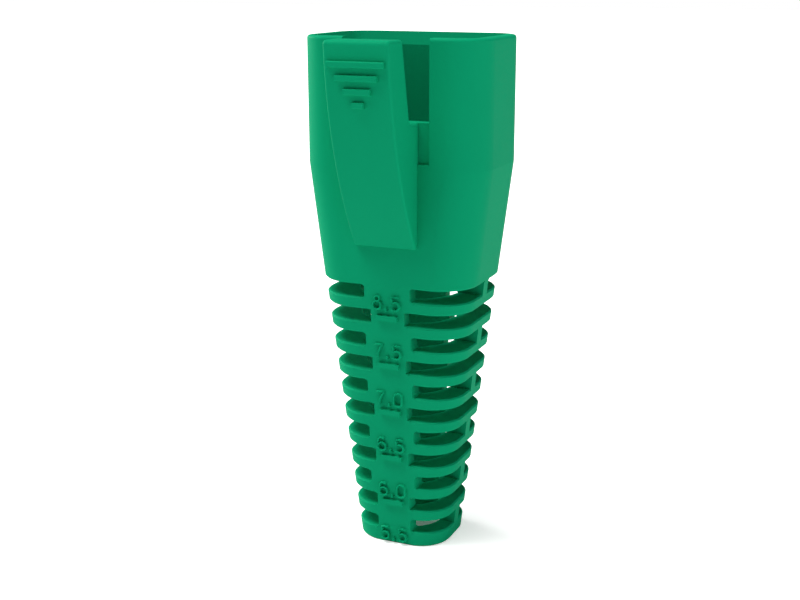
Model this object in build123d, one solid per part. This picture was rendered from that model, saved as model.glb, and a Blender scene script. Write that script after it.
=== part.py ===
from build123d import *
import os

# Strain relief boot for a modular network plug, moulded in one piece of soft plastic.
# Sizes are in millimetres. The origin is the middle of the tail's end face, +Z points to the
# mouth that the plug goes into, and the tongue that guards the plug's latch faces -Y.

# Hood over the plug: a straight sleeve on a tapered shoulder
hood_width = 15.0
hood_depth = 9.95
hood_corner = 2.8
sleeve_height = 9.62
shoulder_height = 9.1
shoulder_lip = 0.05
rim_round = 0.25

# Socket inside the hood, with a lead-in at its mouth and a funnel down to the cable bore
hood_wall = 1.2
socket_corner = 0.6
lead_in_height = 1.0
lead_in_width = 0.35
funnel_foot = 0.6

# Flexible tail: a stack of flat rings with slots between them, and a thicker ring at its end
tail_top_width = 12.65
tail_top_depth = 9.9
tail_top_corner = 3.0
tail_end_width = 7.7
tail_end_depth = 7.05
tail_end_corner = 2.55
ring_count = 11
ring_height = 0.9
slot_height = 1.065
end_ring_height = 1.265
ring_bevel = 0.12

# Spines at the front and back and struts at the sides, which tie the rings together
wide_spine = 3.8
narrow_spine = 2.8
window_corner = 0.2
strut_width = 0.95

# Conical bore for the cable, with a straight land in the last ring
bore_end_radius = 2.75
bore_top_radius = 4.25

# Slot in the hood's front wall for the plug's latch, and the shallow recess below it
latch_slot_width = 7.0
latch_slot_depth = 6.1
recess_height = 3.05
recess_depth = 0.25

# Tongue over the latch, curved in side view
tongue_width = 5.12
tongue_tip = 2.42
tongue_radius = 33.0
tongue_foot_height = 3.15
tongue_step = 0.3
tongue_round = 0.3
tongue_side_round = 0.2
latch_gap = 2.6
root_gap = 1.3
root_round = 0.5
root_embed = 0.6

# Raised grip ribs across the tongue, shorter and shorter from the tip down
rib_count = 4
rib_drop = 1.65
rib_pitch = 0.95
rib_height = 0.45
rib_raise = 0.3
rib_round = 0.1
longest_rib = 4.4
shortest_rib = 0.9

# Raised cut marks on the front spine, one at every second slot
mark_width = 1.75
mark_height = 0.43
mark_raise = 0.28
mark_embed = 0.3

# Heights and places that follow from the sizes above
pitch = ring_height + slot_height
tail_length = (ring_count - 1) * pitch + slot_height + end_ring_height
crease_z = tail_length + shoulder_height
mouth_z = crease_z + sleeve_height
funnel_foot_z = tail_length + funnel_foot
slot_floor_z = mouth_z - latch_slot_depth
tongue_foot_z = tail_length + tongue_foot_height
hood_front = hood_depth / 2
foot_width = tail_top_width + 2 * shoulder_lip
socket_width = hood_width - 2 * hood_wall
socket_depth = hood_depth - 2 * hood_wall
clear = 2 * (hood_width + hood_depth)


def section(width, depth, corner, height):
    """Rounded rectangle about the axis, at one height."""
    return Pos(0, 0, height) * RectangleRounded(width, depth, corner)


def slab(width, depth, low, high):
    """Box about the axis, between two heights."""
    return Pos(0, 0, (low + high) / 2) * Box(width, depth, high - low)


def between(start, end, share):
    """Value a given share of the way from start to end."""
    return start + (end - start) * share


def tail_size(height):
    """Width, depth and corner of the tail's outline at one height."""
    share = height / tail_length
    width = between(tail_end_width, tail_top_width, share)
    depth = between(tail_end_depth, tail_top_depth, share)
    return width, depth, between(tail_end_corner, tail_top_corner, share)


def make_tail():
    """Tail before it is divided into rings."""
    return loft([section(*tail_size(0), 0), section(*tail_size(tail_length), tail_length)])


def make_outside():
    """Hood and tail as one solid, before the tail is divided into rings."""
    foot = section(foot_width, tail_top_depth, tail_top_corner, tail_length)
    crease = section(hood_width, hood_depth, hood_corner, crease_z)
    hood = loft([foot, crease]) + extrude(crease, sleeve_height)
    hood = fillet(hood.faces().sort_by(Axis.Z)[-1].edges(), rim_round)
    return hood + make_tail()


def make_funnel(seat):
    """Round funnel from the cable bore up to the socket, within the hood's walls."""
    height = crease_z - funnel_foot_z
    cone = Pos(0, 0, funnel_foot_z + height / 2) * Cone(bore_top_radius, socket_width / 2, height)
    return cone & loft([section(socket_width, 2 * bore_top_radius, socket_corner, funnel_foot_z), seat])


def make_hollow():
    """Socket, funnel and cable bore as one cutting body."""
    lead_in_z = mouth_z - lead_in_height
    seat = section(socket_width, socket_depth, socket_corner, crease_z)
    neck = section(socket_width, socket_depth, socket_corner, lead_in_z)
    mouth = section(socket_width + 2 * lead_in_width, socket_depth + 2 * lead_in_width,
                    socket_corner + lead_in_width, mouth_z)
    cone_height = funnel_foot_z - end_ring_height
    cone = Cone(bore_end_radius, bore_top_radius, cone_height)
    hollow = Pos(0, 0, end_ring_height / 2) * Cylinder(bore_end_radius, end_ring_height)
    hollow += Pos(0, 0, end_ring_height + cone_height / 2) * cone
    hollow += make_funnel(seat)
    hollow += extrude(seat, lead_in_z - crease_z)
    return hollow + loft([neck, mouth])


def make_windows(low, spine_width, braced):
    """Openings of one slot, to the left and right of the spines."""
    if braced:
        outline = RectangleRounded(clear, slot_height, window_corner)
    else:
        outline = Rectangle(clear, slot_height)
    offset = (spine_width + clear) / 2
    outlines = [Pos(side * offset, low + slot_height / 2) * outline for side in (-1, 1)]
    return extrude(Plane.XZ * Sketch(outlines), clear / 2, both=True)


def make_bevel(width, depth, corner, height, rise):
    """Frame that bevels the outer edge of a rim at one height.

    The rim's body lies above that height where rise is 1 and below it where rise is -1.
    """
    inner = section(width - 4 * ring_bevel, depth - 4 * ring_bevel, corner - 2 * ring_bevel,
                    height - rise * ring_bevel)
    outer = section(width + 2 * ring_bevel, depth + 2 * ring_bevel, corner + ring_bevel,
                    height + rise * 2 * ring_bevel)
    core = loft([inner, outer] if rise > 0 else [outer, inner])
    low, high = sorted((height - rise * ring_bevel, height + 2 * rise * ring_bevel))
    return slab(clear, clear, low, high) - core


def make_slot(level):
    """Everything cut away at one slot of the tail, counted from the hood down."""
    high = tail_length - level * pitch
    low = high - slot_height
    braced = level % 2 == 0
    wide = braced and level < ring_count - 1
    spine_width = wide_spine if wide else narrow_spine
    windows = make_windows(low, spine_width, braced)
    above = (foot_width, tail_top_depth, tail_top_corner) if level == 0 else tail_size(high)
    bevels = make_bevel(*above, high, 1)
    bevels += make_bevel(*tail_size(low), low, -1)
    kept = slab(spine_width + 2 * window_corner, clear, low - pitch, high + pitch)
    if braced:
        strut = slab(3 * clear, strut_width, low - pitch, high + pitch)
        windows -= strut
        kept += strut
    return windows.solids() + (bevels - kept).solids()


def make_latch_slot():
    """Open slot for the latch and the shallow recess under it, as one cutting body."""
    slot = slab(latch_slot_width, 3 * hood_wall, slot_floor_z, mouth_z + pitch)
    recess = slab(latch_slot_width, 2 * recess_depth, slot_floor_z - recess_height, slot_floor_z)
    return Pos(0, -hood_front, 0) * (slot + recess)


def make_tongue_profile():
    """Side view of the tongue, from its tip down to its root in the hood's wall."""
    share = tongue_foot_height / shoulder_height
    shoulder_front = between(tail_top_depth, hood_depth, share) / 2
    foot = (-shoulder_front - tongue_step, tongue_foot_z)
    tip_rear = (-hood_front - latch_gap, mouth_z)
    tip_front = (tip_rear[0] - tongue_tip, mouth_z)
    root = (-hood_front - root_gap, slot_floor_z)
    buried = -hood_front + root_embed
    front = RadiusArc(tip_front, foot, -tongue_radius)
    back = Polyline(foot, (buried, tongue_foot_z), (buried, slot_floor_z), root, tip_rear, tip_front)
    profile = make_face(front + back)
    near = profile.vertices().sort_by_distance
    outer = [near(point)[0] for point in (tip_front, tip_rear, foot)]
    profile = fillet(outer, tongue_round)
    return fillet(profile.vertices().sort_by_distance(root)[0], root_round)


def make_tongue():
    """Tongue with its long edges rounded."""
    tongue = extrude(Plane.YZ * make_tongue_profile(), tongue_width / 2, both=True)
    return fillet(tongue.faces().filter_by(Axis.X).edges(), tongue_side_round)


def make_ribs(tongue):
    """Grip ribs that follow the tongue's curved front."""
    raised = Pos(0, -rib_raise, 0) * tongue
    ribs = []
    for index in range(rib_count):
        width = between(longest_rib, shortest_rib, index / (rib_count - 1))
        middle = mouth_z - rib_drop - index * rib_pitch
        band = slab(width, clear, middle - rib_height / 2, middle + rib_height / 2)
        rib = raised & Pos(0, -clear / 2 - hood_front - latch_gap, 0) * band
        long_edges = rib.faces().sort_by(Axis.Y)[0].edges().filter_by(Axis.X)
        ribs.append(fillet(long_edges, rib_round))
    return ribs


def make_marks():
    """Cut marks on the front spine, which lean with the tail's taper."""
    raised = Pos(0, -mark_raise, 0) * make_tail()
    marks = []
    for level in range(1, ring_count, 2):
        middle = tail_length - level * pitch - slot_height / 2
        band = slab(mark_width, clear, middle - mark_height / 2, middle + mark_height / 2)
        rear = tail_size(middle)[1] / 2 - mark_embed
        marks.append(raised & Pos(0, -clear / 2 - rear, 0) * band)
    return marks


def make_boot():
    """The whole boot."""
    cuts = make_slot(0)
    for level in range(1, ring_count):
        cuts += make_slot(level)
    cuts.append(make_bevel(*tail_size(0), 0, 1))
    boot = make_outside() - cuts - make_hollow() - make_latch_slot()
    tongue = make_tongue()
    return boot + tongue + make_ribs(tongue) + make_marks()


os.makedirs("parts", exist_ok=True)
boot = make_boot()
export_step(boot, "parts/boot.step")
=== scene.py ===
"""Looks of a moulded strain relief boot: soft plastic, raised cut numbers and a plain studio.

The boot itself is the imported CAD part. The tail stands on the floor at Z = 0, the mouth is on top
and the tongue faces -Y. Lengths are in metres in the part's own frame, and in millimetres for the
numbers.
"""

import logging
import math
from dataclasses import dataclass, field
from enum import Enum

import bmesh
import bpy
from mathutils import Matrix, Vector


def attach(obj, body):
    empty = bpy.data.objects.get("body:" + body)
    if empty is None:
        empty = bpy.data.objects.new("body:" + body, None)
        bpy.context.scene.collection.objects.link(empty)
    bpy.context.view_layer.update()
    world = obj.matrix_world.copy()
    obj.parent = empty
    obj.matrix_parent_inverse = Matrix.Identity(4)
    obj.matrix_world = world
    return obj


MM = 0.001
BODY = "root"
BOOT_NODE = "boot"

log = logging.getLogger("boot")
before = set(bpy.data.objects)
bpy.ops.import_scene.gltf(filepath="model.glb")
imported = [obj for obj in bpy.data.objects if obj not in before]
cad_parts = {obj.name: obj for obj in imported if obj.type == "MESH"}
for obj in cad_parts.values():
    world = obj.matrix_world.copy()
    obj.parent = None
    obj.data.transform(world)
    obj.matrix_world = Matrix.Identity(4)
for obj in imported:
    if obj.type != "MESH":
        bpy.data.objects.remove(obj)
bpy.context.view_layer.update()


def linear(code: str) -> tuple[float, float, float, float]:
    """Turn an sRGB colour into the linear values that shaders take.

    Args:
        code: Colour as # and six hex digits.

    Returns:
        Red, green, blue and an alpha of 1.
    """
    values = [int(code[start:start + 2], 16) / 255 for start in (1, 3, 5)]
    lit = [
        value / 12.92 if value <= 0.04045 else ((value + 0.055) / 1.055) ** 2.4
        for value in values
    ]
    return (*lit, 1.0)


def add_node(
    tree: bpy.types.NodeTree,
    kind: str,
    settings: dict[str | int, object] | None = None,
    links: dict[str | int, bpy.types.NodeSocket] | None = None,
    **properties: object,
) -> bpy.types.Node:
    """Add one shader node with its settings and links.

    Args:
        tree: Node tree that gets the node.
        kind: Type of the node.
        settings: Values of its input sockets, by name or place.
        links: Output sockets that feed its input sockets, by name or place.
        **properties: Properties of the node itself, such as operation.

    Returns:
        The new node.
    """
    node = tree.nodes.new(kind)
    for name, value in properties.items():
        setattr(node, name, value)
    for name, value in (settings or {}).items():
        node.inputs[name].default_value = value
    for name, source in (links or {}).items():
        tree.links.new(source, node.inputs[name])
    return node


def empty_tree(owner: bpy.types.Material | bpy.types.World) -> bpy.types.NodeTree:
    """Switch a material or world to nodes and clear the ones it starts with.

    Args:
        owner: Material or world to empty.

    Returns:
        Its empty node tree.
    """
    owner.use_nodes = True
    owner.node_tree.nodes.clear()
    return owner.node_tree


@dataclass(frozen=True)
class MouldedSoftPvc:
    """Soft PVC, dyed through and injection moulded.

    To the eye it is one deep colour with a satin skin that hardly reflects, faintly uneven where
    the melt flowed, and with the grain of a spark-eroded mould. That grain is finer than a pixel of
    the render, so it is drawn coarser than it is.
    """

    name: str = "moulded_soft_pvc"
    slot: str = "soft_pvc"
    dark_colour: str = "#089769"
    light_colour: str = "#0A9D6D"
    flow_size: float = 7.0 * MM
    grain_size: float = 0.16 * MM
    grain_depth: float = 0.003 * MM
    noise_detail: float = 2.0
    roughness: tuple[float, float] = (0.48, 0.56)
    ior: float = 1.53
    specular_level: float = 0.012

    def material(self) -> bpy.types.Material:
        """Build the finish once, and return it each time.

        Returns:
            The material.
        """
        known = bpy.data.materials.get(self.name)
        if known:
            return known
        material = bpy.data.materials.new(self.name)
        tree = empty_tree(material)
        place = add_node(tree, "ShaderNodeTexCoord").outputs["Object"]
        flow, grain = (
            add_node(
                tree,
                "ShaderNodeTexNoise",
                {"Scale": 1 / size, "Detail": self.noise_detail},
                {"Vector": place},
            )
            for size in (self.flow_size, self.grain_size)
        )
        colour = add_node(tree, "ShaderNodeValToRGB", links={"Fac": flow.outputs["Fac"]})
        colour.color_ramp.elements[0].color = linear(self.dark_colour)
        colour.color_ramp.elements[1].color = linear(self.light_colour)
        low, high = self.roughness
        satin = add_node(
            tree,
            "ShaderNodeMapRange",
            {"To Min": low, "To Max": high},
            {"Value": grain.outputs["Fac"]},
        )
        bump = add_node(
            tree, "ShaderNodeBump", {"Distance": self.grain_depth}, {"Height": grain.outputs["Fac"]}
        )
        shader = add_node(
            tree,
            "ShaderNodeBsdfPrincipled",
            {"IOR": self.ior, "Specular IOR Level": self.specular_level},
            {
                "Base Color": colour.outputs["Color"],
                "Roughness": satin.outputs["Result"],
                "Normal": bump.outputs["Normal"],
            },
        )
        add_node(tree, "ShaderNodeOutputMaterial", links={"Surface": shader.outputs["BSDF"]})
        return material

    def dress(self, piece: bpy.types.Object) -> None:
        """Give a piece this finish in its only material slot.

        Args:
            piece: Mesh object to finish.
        """
        piece.data.materials.clear()
        piece.data.materials.append(self.material())


@dataclass(frozen=True)
class MattWhiteCard:
    """Matt white card that the boot stands on.

    To the eye it is plain white with no shine. A glow that only the camera sees makes it as white
    as the background, except in a disc under the boot, where the glow is left off so that the floor
    there keeps the real shade that the boot casts.
    """

    name: str = "matt_white_card"
    colour: str = "#F4F4F4"
    glow: float = 0.55
    shade_disc_radius: float = 3.2 * MM
    shade_disc_edge: float = 0.2 * MM

    def material(self) -> bpy.types.Material:
        """Build the finish.

        Returns:
            The material.
        """
        material = bpy.data.materials.new(self.name)
        tree = empty_tree(material)
        paths = add_node(tree, "ShaderNodeLightPath")
        place = add_node(tree, "ShaderNodeTexCoord").outputs["Object"]
        distance = add_node(tree, "ShaderNodeVectorMath", links={0: place}, operation="LENGTH")
        # No glow in the disc under the boot, so that the floor there keeps the boot's real shade
        glow_outside_shade_disc = add_node(
            tree,
            "ShaderNodeMapRange",
            {
                "From Min": self.shade_disc_radius,
                "From Max": self.shade_disc_radius + self.shade_disc_edge,
                "To Max": self.glow,
            },
            {"Value": distance.outputs["Value"]},
        )
        strength = add_node(
            tree,
            "ShaderNodeMath",
            links={0: paths.outputs["Is Camera Ray"], 1: glow_outside_shade_disc.outputs["Result"]},
            operation="MULTIPLY",
        )
        card = add_node(tree, "ShaderNodeBsdfDiffuse", {"Color": linear(self.colour)})
        glow = add_node(tree, "ShaderNodeEmission", links={"Strength": strength.outputs["Value"]})
        both = add_node(tree, "ShaderNodeAddShader", links={0: card.outputs[0], 1: glow.outputs[0]})
        add_node(tree, "ShaderNodeOutputMaterial", links={"Surface": both.outputs[0]})
        return material


@dataclass
class Pen:
    """Draws raised strokes in a label's own plane, in millimetres, with X right and Z up.

    A stroke is a tube with an oval section, half of it under the surface that it is set on.
    """

    mesh: bmesh.types.BMesh
    half_width: float
    half_depth: float
    section_sides: int = 12
    arc_step: float = 15.0
    merge_distance: float = 0.0018
    foot: bmesh.types.BMFace | None = None
    tip: bmesh.types.BMFace | None = None
    place: Vector = field(default_factory=lambda: Vector((0.0, 0.0, 0.0)))
    heading: float = 0.0

    def direction(self) -> Vector:
        """Direction in which the pen now draws."""
        return Vector((math.cos(self.heading), 0.0, math.sin(self.heading)))

    def curve_middle(self, radius: float) -> Vector:
        """Middle of a curve to the pen's left, or to its right where the radius is negative."""
        ahead = self.direction()
        return self.place + Vector((-ahead.z, 0.0, ahead.x)) * radius

    def tip_and_rim(self) -> list[bmesh.types.BMFace | bmesh.types.BMEdge | bmesh.types.BMVert]:
        """Tip of the stroke with its rim, which takes the tip along and leaves no face inside."""
        return [self.tip, *self.tip.edges, *self.tip.verts]

    def start(self, x: float, z: float, heading: float) -> "Pen":
        """Set the pen down to begin a stroke.

        Args:
            x: Place across the label.
            z: Place up the label.
            heading: Direction in degrees, 0 to the right and 90 up.

        Returns:
            The pen itself.
        """
        self.place = Vector((x, 0.0, z))
        self.heading = math.radians(heading)
        ahead = self.direction()
        depth = Vector((0.0, 1.0, 0.0))
        across = depth.cross(ahead)
        frame_axes = Matrix((across * self.half_width, depth * self.half_depth, ahead)).transposed()
        section = bmesh.ops.create_circle(
            self.mesh,
            cap_ends=True,
            radius=1.0,
            segments=self.section_sides,
            matrix=Matrix.Translation(self.place) @ frame_axes.to_4x4(),
        )
        self.foot = self.tip = section["verts"][0].link_faces[0]
        return self

    def line(self, length: float) -> "Pen":
        """Draw straight on.

        Args:
            length: Length of the straight.

        Returns:
            The pen itself.
        """
        made = bmesh.ops.extrude_face_region(self.mesh, geom=self.tip_and_rim())
        move = self.direction() * length
        verts = [item for item in made["geom"] if isinstance(item, bmesh.types.BMVert)]
        bmesh.ops.translate(self.mesh, vec=move, verts=verts)
        self.tip = next(item for item in made["geom"] if isinstance(item, bmesh.types.BMFace))
        self.place = self.place + move
        return self

    def arc(self, radius: float, turn: float) -> "Pen":
        """Draw round a curve.

        Args:
            radius: Radius of the stroke's middle line.
            turn: Angle in degrees, positive to the left.

        Returns:
            The pen itself.
        """
        centre = self.curve_middle(math.copysign(radius, turn))
        made = bmesh.ops.spin(
            self.mesh,
            geom=self.tip_and_rim(),
            cent=centre,
            axis=(0.0, -1.0, 0.0),
            angle=math.radians(turn),
            steps=max(1, round(abs(turn) / self.arc_step)),
            use_duplicate=False,
        )
        self.tip = next(item for item in made["geom_last"] if isinstance(item, bmesh.types.BMFace))
        swing = Matrix.Rotation(-math.radians(turn), 3, "Y")
        self.place = centre + swing @ (self.place - centre)
        self.heading += math.radians(turn)
        return self

    def ring(self, radius: float) -> None:
        """Draw a full circle to the left, which has no ends.

        Args:
            radius: Radius of the stroke's middle line.
        """
        rim = [*self.tip.verts, *self.tip.edges]
        bmesh.ops.delete(self.mesh, geom=[self.tip], context="FACES_ONLY")
        bmesh.ops.spin(
            self.mesh,
            geom=rim,
            cent=self.curve_middle(radius),
            axis=(0.0, -1.0, 0.0),
            angle=math.tau,
            steps=round(360 / self.arc_step),
            use_merge=True,
            use_duplicate=False,
        )

    def close(self) -> None:
        """Join the stroke's end to its start, once the pen is back there."""
        rims = [vert for face in (self.foot, self.tip) for vert in face.verts]
        bmesh.ops.delete(self.mesh, geom=[self.foot, self.tip], context="FACES_ONLY")
        bmesh.ops.remove_doubles(self.mesh, verts=rims, dist=self.merge_distance)


@dataclass
class Numerals:
    """Plain single-stroke numerals, each drawn about its own middle, with angles in degrees."""

    pen: Pen
    width: float
    height: float
    # Bend over the six: its radius as a share of the ring's, and the angle it turns through
    bend_share: float = 0.85
    bend_turn: float = 140.0
    # Stem of the seven: its lean from upright where it leaves the bar
    stem_lean: float = 42.0
    # Bowl of the five: its start, as an angle above its middle, and the angle it turns through
    bowl_start: float = 35.0
    bowl_turn: float = 285.0
    # Flag of the five as a share of the numeral's width, and the point's height in stroke widths
    flag_share: float = 0.85
    point_share: float = 1.4

    def draw(self, sign: str, x: float) -> None:
        """Draw one sign.

        Args:
            sign: A numeral or a point.
            x: Place of its middle across the label.
        """
        shapes = {
            "0": self.nought,
            "5": self.five,
            "6": self.six,
            "7": self.seven,
            "8": self.eight,
            ".": self.point,
        }
        shapes[sign](x)

    def nought(self, x: float) -> None:
        """Draw an upright ring with straight sides.

        Args:
            x: Place of its middle across the label.
        """
        radius = self.width / 2
        straight = self.height - self.width
        pen = self.pen.start(x - radius, -straight / 2, 90)
        pen.line(straight).arc(radius, -180).line(straight).arc(radius, -180).close()

    def eight(self, x: float) -> None:
        """Draw a small ring on a larger one.

        Args:
            x: Place of its middle across the label.
        """
        radius = self.width / 2
        small = self.height / 2 - radius
        self.pen.start(x, -self.height / 2, 0).ring(radius)
        self.pen.start(x, self.height / 2, 180).ring(small)

    def six(self, x: float) -> None:
        """Draw a ring with a stem that bends over it.

        Args:
            x: Place of its middle across the label.
        """
        radius = self.width / 2
        small = self.bend_share * radius
        self.pen.start(x, -self.height / 2, 0).ring(radius)
        stem = self.pen.start(x - radius, radius - self.height / 2, 90)
        stem.line(self.height - radius - small).arc(small, -self.bend_turn)

    def seven(self, x: float) -> None:
        """Draw a bar with a stem that bends down from its end.

        Args:
            x: Place of its middle across the label.
        """
        half = self.width / 2
        bend = self.height / math.sin(math.radians(self.stem_lean))
        self.pen.start(x - half, self.height / 2, 0).line(self.width)
        stem = self.pen.start(x + half, self.height / 2, 270 - self.stem_lean)
        stem.arc(bend, self.stem_lean)

    def five(self, x: float) -> None:
        """Draw a flag over an open bowl.

        Args:
            x: Place of its middle across the label.
        """
        radius = self.width / 2
        left = x - radius * math.cos(math.radians(self.bowl_start))
        joint = radius * (1 + math.sin(math.radians(self.bowl_start))) - self.height / 2
        self.pen.start(left, joint, 90 - self.bowl_start).arc(radius, -self.bowl_turn)
        self.pen.start(left, joint, 90).line(self.height / 2 - joint)
        self.pen.start(left, self.height / 2, 0).line(self.width * self.flag_share)

    def point(self, x: float) -> None:
        """Draw a short upright dash that reads as a point.

        Args:
            x: Place of its middle across the label.
        """
        size = 2 * self.pen.half_width
        self.pen.start(x, -self.height / 2 - size / 2, 90).line(size * self.point_share)


@dataclass
class CutNumber:
    """Raised number on the front spine: the cable's diameter at which the tail is cut there."""

    text: str
    middle: float
    finish: MouldedSoftPvc
    numeral_width: float = 0.66
    numeral_height: float = 1.06
    spacing: float = 0.76
    stroke_width: float = 0.18
    raise_height: float = 0.3
    shift: float = -0.02
    ray_start: float = -100.0

    def surface(self, node: bpy.types.Object) -> Matrix:
        """Find the spine's surface at the number's height.

        Args:
            node: The boot's CAD node.

        Returns:
            Placement of the label's plane, in metres.
        """
        start = Vector((self.shift, self.ray_start, self.middle)) * MM
        hit, place, normal, _ = node.ray_cast(start, Vector((0.0, 1.0, 0.0)))
        if not hit:
            raise ValueError(f"the number {self.text} has no surface to stand on")
        lean = math.atan2(normal.z, -normal.y)
        return Matrix.Translation(place) @ Matrix.Rotation(lean, 4, "X") @ Matrix.Scale(MM, 4)

    def build(self, node: bpy.types.Object) -> bpy.types.Object:
        """Draw the number and set it on the boot.

        Args:
            node: The boot's CAD node, which carries it.

        Returns:
            The finished piece.
        """
        mesh = bmesh.new()
        pen = Pen(mesh, self.stroke_width / 2, self.raise_height)
        numerals = Numerals(pen, self.numeral_width, self.numeral_height)
        for index, sign in enumerate(self.text):
            numerals.draw(sign, (index - (len(self.text) - 1) / 2) * self.spacing)
        bmesh.ops.recalc_face_normals(mesh, faces=mesh.faces)
        bmesh.ops.transform(mesh, matrix=self.surface(node), verts=mesh.verts)
        name = "cut_number_" + self.text.replace(".", "_")
        data = bpy.data.meshes.new(name)
        mesh.to_mesh(data)
        mesh.free()
        data.shade_smooth()
        piece = bpy.data.objects.new(name, data)
        bpy.context.scene.collection.objects.link(piece)
        self.finish.dress(piece)
        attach(piece, BODY)
        return piece


@dataclass
class Boot:
    """The moulded boot: the CAD node and the raised numbers on its front spine."""

    finish: MouldedSoftPvc = field(default_factory=MouldedSoftPvc)
    numbers: tuple[str, ...] = ("8.5", "7.5", "7.0", "6.5", "6.0", "5.5")
    first_number: float = 20.7
    number_pitch: float = 3.965

    def build(self) -> list[bpy.types.Object]:
        """Dress the node and add the numbers.

        Returns:
            Every piece of the boot.
        """
        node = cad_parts[BOOT_NODE]
        self.finish.dress(node)
        pieces = [node]
        for index, text in enumerate(self.numbers):
            middle = self.first_number - index * self.number_pitch
            pieces.append(CutNumber(text, middle, self.finish).build(node))
        return pieces


class LampKind(Enum):
    """Kinds of lamp that the studio uses."""

    SUN = "SUN"


@dataclass(frozen=True)
class Lamp:
    """Soft lamp that shines on the boot from one direction, in degrees round it and above it."""

    name: str
    azimuth: float
    elevation: float
    strength: float
    spread: float
    kind: LampKind = LampKind.SUN
    distance: float = 0.5

    def build(self) -> None:
        """Add the lamp to the scene."""
        data = bpy.data.lights.new(self.name, self.kind.value)
        data.energy = self.strength
        data.angle = math.radians(self.spread)
        around = math.radians(self.azimuth)
        above = math.radians(self.elevation)
        flat = Vector((math.sin(around), -math.cos(around), 0.0))
        back = flat * math.cos(above) + Vector((0.0, 0.0, math.sin(above)))
        lamp = bpy.data.objects.new(self.name, data)
        lamp.rotation_euler = (-back).to_track_quat("-Z", "Y").to_euler()
        lamp.location = back * self.distance
        bpy.context.scene.collection.objects.link(lamp)


@dataclass(frozen=True)
class Studio:
    """Plain white studio with a pale floor, soft lamps and the photograph's camera."""

    card: MattWhiteCard = field(default_factory=MattWhiteCard)
    floor_size: float = 3.0
    world_colour: str = "#FFFFFF"
    ambient: float = 0.12
    lamps: tuple[Lamp, ...] = (
        Lamp("overhead", -60.0, 75.0, 2.3, 40.0),
        Lamp("key", -60.0, 60.0, 1.2, 25.0),
        Lamp("left", -106.0, 12.0, 2.2, 20.0),
        Lamp("right", 85.0, 14.0, 0.85, 20.0),
    )
    camera_place: tuple[float, float, float] = (0.03804, -0.08810, 0.04524)
    camera_pitch: float = 75.128
    camera_yaw: float = 23.354
    camera_lens: float = 55.51
    camera_shift: float = -0.015
    nearest_seen: float = 1.0 * MM

    def build(self) -> None:
        """Add the floor, world, lamps and camera."""
        self.build_floor()
        self.build_world()
        for lamp in self.lamps:
            lamp.build()
        self.build_camera()

    def build_floor(self) -> None:
        """Lay the card as a floor, which keeps the boot's shadow."""
        mesh = bmesh.new()
        bmesh.ops.create_grid(mesh, x_segments=1, y_segments=1, size=self.floor_size / 2)
        data = bpy.data.meshes.new("floor")
        mesh.to_mesh(data)
        mesh.free()
        floor = bpy.data.objects.new("floor", data)
        bpy.context.scene.collection.objects.link(floor)
        data.materials.append(self.card.material())

    def build_world(self) -> None:
        """Light the scene evenly from a world that the camera sees as white."""
        world = bpy.data.worlds.new("studio")
        tree = empty_tree(world)
        paths = add_node(tree, "ShaderNodeLightPath")
        level = add_node(
            tree,
            "ShaderNodeMapRange",
            {"To Min": self.ambient, "To Max": 1.0},
            {"Value": paths.outputs["Is Camera Ray"]},
        )
        light = add_node(
            tree,
            "ShaderNodeBackground",
            {"Color": linear(self.world_colour)},
            {"Strength": level.outputs["Result"]},
        )
        add_node(tree, "ShaderNodeOutputWorld", links={"Surface": light.outputs["Background"]})
        bpy.context.scene.world = world

    def build_camera(self) -> None:
        """Set the camera where the photograph's edges place it."""
        data = bpy.data.cameras.new("camera")
        data.lens = self.camera_lens
        data.shift_x = self.camera_shift
        data.clip_start = self.nearest_seen
        camera = bpy.data.objects.new("camera", data)
        camera.location = self.camera_place
        pitch, yaw = math.radians(self.camera_pitch), math.radians(self.camera_yaw)
        camera.rotation_euler = (pitch, 0.0, yaw)
        bpy.context.scene.collection.objects.link(camera)
        bpy.context.scene.camera = camera


def main() -> None:
    """Build the boot and the studio, and report each piece."""
    logging.basicConfig(level=logging.INFO, format="%(name)s: %(message)s")
    for piece in Boot().build():
        log.info("%s has %d faces", piece.name, len(piece.data.polygons))
    Studio().build()
    bpy.context.scene.view_settings.view_transform = "Standard"


if __name__ == "__main__":
    main()
